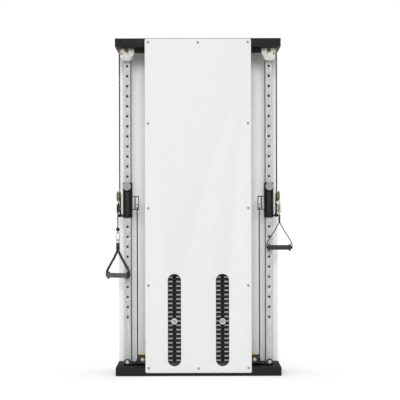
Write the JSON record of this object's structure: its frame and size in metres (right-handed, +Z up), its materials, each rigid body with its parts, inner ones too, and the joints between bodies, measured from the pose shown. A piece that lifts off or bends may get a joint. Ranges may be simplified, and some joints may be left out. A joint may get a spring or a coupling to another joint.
{
  "type": "functional trainer",
  "caption": "Free-standing cable machine: two perforated columns with height-adjustable swivel pulleys, pin-selected weight stacks behind a front panel, and hanging handles.",
  "frame": {"origin": "floor level, middle of the base frame's underside", "axes": "+Z up, +X to the user's right when facing the machine, front panel and handles towards -Y"},
  "size_m": [1.1941, 0.3833, 2.15],
  "materials": {
    "frame_black": "satin black powder coat, fine texture",
    "panel_white": "smooth white powder coat",
    "back_grey": "light grey powder coat",
    "zinc": "zinc-plated, softly mottled",
    "carriage_black": "satin black",
    "pulley_gold": "gold anodised",
    "steel": "polished plate",
    "weight_plate": "black painted steel plates with grey numbers",
    "knob_grey": "satin grey",
    "cable_black": "black nylon sheath",
    "stop_rubber": "moulded rubber",
    "grip_rubber": "dark grey textured rubber",
    "webbing": "black woven nylon webbing"
  },
  "bodies": {
    "frame": {"base_frame": "frame_black", "top_frame": "frame_black", "front_panel": "panel_white", "back_panel": "back_grey", "column_left": "zinc", "top_pulley_bracket_left": "zinc", "base_pulley_bracket_left": "carriage_black", "guide_rod_inner_left": "steel", "guide_rod_outer_left": "steel", "stack_bumper_left": "stop_rubber", "lower_plates_left": "weight_plate", "main_cable_left": "cable_black", "column_right": "zinc", "top_pulley_bracket_right": "zinc", "base_pulley_bracket_right": "carriage_black", "guide_rod_inner_right": "steel", "guide_rod_outer_right": "steel", "stack_bumper_right": "stop_rubber", "lower_plates_right": "weight_plate", "main_cable_right": "cable_black"},
    "stack_left": {"lifted_plates_left": "weight_plate", "selector_rod_left": "steel"},
    "selector_pin_left": {"selector_pin_left": "steel"},
    "stack_pulley_left": {"stack_pulley_left": "pulley_gold"},
    "top_outer_pulley_left": {"top_outer_pulley_left": "pulley_gold"},
    "top_feed_pulley_left": {"top_feed_pulley_left": "pulley_gold"},
    "top_return_pulley_left": {"top_return_pulley_left": "pulley_gold"},
    "top_turn_pulley_left": {"top_turn_pulley_left": "pulley_gold"},
    "base_pulley_left": {"base_pulley_left": "pulley_gold"},
    "pull_pin_left": {"pull_pin_left": "knob_grey"},
    "swivel_pulley_upper_left": {"swivel_pulley_upper_left": "pulley_gold"},
    "swivel_pulley_lower_left": {"swivel_pulley_lower_left": "pulley_gold"},
    "carriage_left": {"carriage_left": "carriage_black", "cable_anchor_left": "carriage_black"},
    "swivel_left": {"swivel_fork_left": "carriage_black", "handle_cable_left": "cable_black"},
    "cable_end_left": {"cable_stop_left": "stop_rubber"},
    "hook_left": {"carabiner_left": "steel"},
    "strap_left": {"handle_strap_left": "webbing"},
    "grip_left": {"handle_grip_left": "grip_rubber"},
    "stack_right": {"lifted_plates_right": "weight_plate", "selector_rod_right": "steel"},
    "selector_pin_right": {"selector_pin_right": "steel"},
    "stack_pulley_right": {"stack_pulley_right": "pulley_gold"},
    "top_outer_pulley_right": {"top_outer_pulley_right": "pulley_gold"},
    "top_feed_pulley_right": {"top_feed_pulley_right": "pulley_gold"},
    "top_return_pulley_right": {"top_return_pulley_right": "pulley_gold"},
    "top_turn_pulley_right": {"top_turn_pulley_right": "pulley_gold"},
    "base_pulley_right": {"base_pulley_right": "pulley_gold"},
    "pull_pin_right": {"pull_pin_right": "knob_grey"},
    "swivel_pulley_upper_right": {"swivel_pulley_upper_right": "pulley_gold"},
    "swivel_pulley_lower_right": {"swivel_pulley_lower_right": "pulley_gold"},
    "carriage_right": {"carriage_right": "carriage_black", "cable_anchor_right": "carriage_black"},
    "swivel_right": {"swivel_fork_right": "carriage_black", "handle_cable_right": "cable_black"},
    "cable_end_right": {"cable_stop_right": "stop_rubber"},
    "hook_right": {"carabiner_right": "steel"},
    "strap_right": {"handle_strap_right": "webbing"},
    "grip_right": {"handle_grip_right": "grip_rubber"}
  },
  "joints": [
    {"name": "carriage_slide_left", "type": "slide", "parent": "frame", "child": "carriage_left", "axis": [0, 0, 1], "range_m": [-0.52, 0.78], "deforming": ["main_cable_left"]},
    {"name": "pull_pin_slide_left", "type": "slide", "parent": "carriage_left", "child": "pull_pin_left", "axis": [0, 1, 0], "range_m": [0, 0.02], "stiffness_N_per_m": 300, "springref_m": 0.03},
    {"name": "swivel_turn_left", "type": "hinge", "parent": "carriage_left", "child": "swivel_left", "pos_m": [-0.505, -0.08, 1.1], "axis": [0, 0, 1], "range_deg": [-80, 55]},
    {"name": "stack_lift_left", "type": "slide", "parent": "frame", "child": "stack_left", "axis": [0, 0, 1], "range_m": [0, 0.28]},
    {"name": "selector_pin_slide_left", "type": "slide", "parent": "stack_left", "child": "selector_pin_left", "axis": [0, 1, 0], "range_m": [-0.06, 0]},
    {"name": "handle_pull_left", "type": "slide", "parent": "swivel_left", "child": "cable_end_left", "axis": [0, 0, -1], "range_m": [0, 0.56], "deforming": ["handle_cable_left"]},
    {"name": "hook_swing_left", "type": "hinge", "parent": "cable_end_left", "child": "hook_left", "pos_m": [-0.51472, -0.13515, 0.914], "axis": [-0.9848, 0.1736, 0], "range_deg": [-3, 80]},
    {"name": "strap_swing_left", "type": "hinge", "parent": "hook_left", "child": "strap_left", "pos_m": [-0.51472, -0.13515, 0.868], "axis": [0.4384, 0.8988, 0], "range_deg": [-25, 25]},
    {"name": "grip_spin_left", "type": "hinge", "parent": "strap_left", "child": "grip_left", "pos_m": [-0.51472, -0.13515, 0.639], "axis": [0.8988, -0.4384, 0], "continuous": true},
    {"name": "top_outer_pulley_spin_left", "type": "hinge", "parent": "frame", "child": "top_outer_pulley_left", "pos_m": [-0.458, -0.08, 2.081], "axis": [0, -1, 0], "range_deg": [-5, 688]},
    {"name": "top_feed_pulley_spin_left", "type": "hinge", "parent": "frame", "child": "top_feed_pulley_left", "pos_m": [-0.236, -0.08, 2.09], "axis": [0, -1, 0], "range_deg": [-5, 850]},
    {"name": "stack_pulley_spin_left", "type": "hinge", "parent": "stack_left", "child": "stack_pulley_left", "pos_m": [-0.154, -0.08, 0.724], "axis": [0, -1, 0], "range_deg": [-370, 5]},
    {"name": "swivel_pulley_upper_spin_left", "type": "hinge", "parent": "swivel_left", "child": "swivel_pulley_upper_left", "pos_m": [-0.50986, -0.10757, 1.145], "axis": [0.9848, -0.1736, 0], "range_deg": [-1151, 5]},
    {"name": "swivel_pulley_lower_spin_left", "type": "hinge", "parent": "swivel_left", "child": "swivel_pulley_lower_left", "pos_m": [-0.50986, -0.10757, 1.066], "axis": [0.9848, -0.1736, 0], "range_deg": [-5, 1151]},
    {"name": "top_return_pulley_spin_left", "type": "hinge", "parent": "frame", "child": "top_return_pulley_left", "pos_m": [-0.148, -0.055, 2.09], "axis": [0, -1, 0], "range_deg": [-790, 1182]},
    {"name": "top_turn_pulley_spin_left", "type": "hinge", "parent": "frame", "child": "top_turn_pulley_left", "pos_m": [-0.284, -0.055, 2.09], "axis": [0, -1, 0], "range_deg": [-790, 1182]},
    {"name": "base_pulley_spin_left", "type": "hinge", "parent": "frame", "child": "base_pulley_left", "pos_m": [-0.358, -0.055, 0.096], "axis": [0, -1, 0], "range_deg": [-1247, 833]},
    {"name": "carriage_slide_right", "type": "slide", "parent": "frame", "child": "carriage_right", "axis": [0, 0, 1], "range_m": [-0.715, 0.78], "deforming": ["main_cable_right"]},
    {"name": "pull_pin_slide_right", "type": "slide", "parent": "carriage_right", "child": "pull_pin_right", "axis": [0, 1, 0], "range_m": [0, 0.02], "stiffness_N_per_m": 300, "springref_m": 0.03},
    {"name": "swivel_turn_right", "type": "hinge", "parent": "carriage_right", "child": "swivel_right", "pos_m": [0.505, -0.08, 1.1], "axis": [0, 0, -1], "range_deg": [-80, 55]},
    {"name": "stack_lift_right", "type": "slide", "parent": "frame", "child": "stack_right", "axis": [0, 0, 1], "range_m": [0, 0.5]},
    {"name": "selector_pin_slide_right", "type": "slide", "parent": "stack_right", "child": "selector_pin_right", "axis": [0, 1, 0], "range_m": [-0.06, 0]},
    {"name": "handle_pull_right", "type": "slide", "parent": "swivel_right", "child": "cable_end_right", "axis": [0.1574, -0.8925, -0.4226], "range_m": [0, 1], "deforming": ["handle_cable_right"]},
    {"name": "hook_swing_right", "type": "hinge", "parent": "cable_end_right", "child": "hook_right", "pos_m": [0.5182, -0.15485, 1.094], "axis": [-0.9848, -0.1736, 0], "range_deg": [-3, 80]},
    {"name": "strap_swing_right", "type": "hinge", "parent": "hook_right", "child": "strap_right", "pos_m": [0.5182, -0.15485, 1.048], "axis": [0, -1, 0], "range_deg": [-25, 25]},
    {"name": "grip_spin_right", "type": "hinge", "parent": "strap_right", "child": "grip_right", "pos_m": [0.5182, -0.15485, 0.816], "axis": [1, 0, 0], "continuous": true},
    {"name": "top_outer_pulley_spin_right", "type": "hinge", "parent": "frame", "child": "top_outer_pulley_right", "pos_m": [0.458, -0.08, 2.081], "axis": [0, 1, 0], "range_deg": [-5, 1225]},
    {"name": "top_feed_pulley_spin_right", "type": "hinge", "parent": "frame", "child": "top_feed_pulley_right", "pos_m": [0.236, -0.08, 2.09], "axis": [0, 1, 0], "range_deg": [-5, 1513]},
    {"name": "stack_pulley_spin_right", "type": "hinge", "parent": "stack_right", "child": "stack_pulley_right", "pos_m": [0.154, -0.08, 0.724], "axis": [0, 1, 0], "range_deg": [-657, 5]},
    {"name": "swivel_pulley_upper_spin_right", "type": "hinge", "parent": "swivel_right", "child": "swivel_pulley_upper_right", "pos_m": [0.50986, -0.10757, 1.145], "axis": [0.9848, 0.1736, 0], "range_deg": [-2052, 5]},
    {"name": "swivel_pulley_lower_spin_right", "type": "hinge", "parent": "swivel_right", "child": "swivel_pulley_lower_right", "pos_m": [0.50986, -0.10757, 1.066], "axis": [0.9848, 0.1736, 0], "continuous": true},
    {"name": "top_return_pulley_spin_right", "type": "hinge", "parent": "frame", "child": "top_return_pulley_right", "pos_m": [0.148, -0.055, 2.09], "axis": [0, 1, 0], "range_deg": [-1084, 1182]},
    {"name": "top_turn_pulley_spin_right", "type": "hinge", "parent": "frame", "child": "top_turn_pulley_right", "pos_m": [0.284, -0.055, 2.09], "axis": [0, 1, 0], "range_deg": [-1084, 1182]},
    {"name": "base_pulley_spin_right", "type": "hinge", "parent": "frame", "child": "base_pulley_right", "pos_m": [0.358, -0.055, 0.096], "axis": [0, 1, 0], "range_deg": [-1247, 1143]}
  ],
  "couplings": [
    {"joint": "handle_pull_left", "follows": "stack_lift_left", "ratio": 2},
    {"joint": "top_outer_pulley_spin_left", "follows": "stack_lift_left", "rad_per_m": 42.553},
    {"joint": "top_feed_pulley_spin_left", "follows": "stack_lift_left", "rad_per_m": 52.632},
    {"joint": "stack_pulley_spin_left", "follows": "stack_lift_left", "rad_per_m": -22.727},
    {"joint": "swivel_pulley_upper_spin_left", "follows": "stack_lift_left", "rad_per_m": -71.429},
    {"joint": "swivel_pulley_lower_spin_left", "follows": "stack_lift_left", "rad_per_m": 71.429},
    {"joint": "top_return_pulley_spin_left", "follows": "carriage_slide_left", "rad_per_m": 26.316},
    {"joint": "top_turn_pulley_spin_left", "follows": "carriage_slide_left", "rad_per_m": 26.316},
    {"joint": "base_pulley_spin_left", "follows": "carriage_slide_left", "rad_per_m": -27.778},
    {"joint": "handle_pull_right", "follows": "stack_lift_right", "ratio": 2},
    {"joint": "top_outer_pulley_spin_right", "follows": "stack_lift_right", "rad_per_m": 42.553},
    {"joint": "top_feed_pulley_spin_right", "follows": "stack_lift_right", "rad_per_m": 52.632},
    {"joint": "stack_pulley_spin_right", "follows": "stack_lift_right", "rad_per_m": -22.727},
    {"joint": "swivel_pulley_upper_spin_right", "follows": "stack_lift_right", "rad_per_m": -71.429},
    {"joint": "top_return_pulley_spin_right", "follows": "carriage_slide_right", "rad_per_m": 26.316},
    {"joint": "top_turn_pulley_spin_right", "follows": "carriage_slide_right", "rad_per_m": 26.316},
    {"joint": "base_pulley_spin_right", "follows": "carriage_slide_right", "rad_per_m": -27.778}
  ]
}
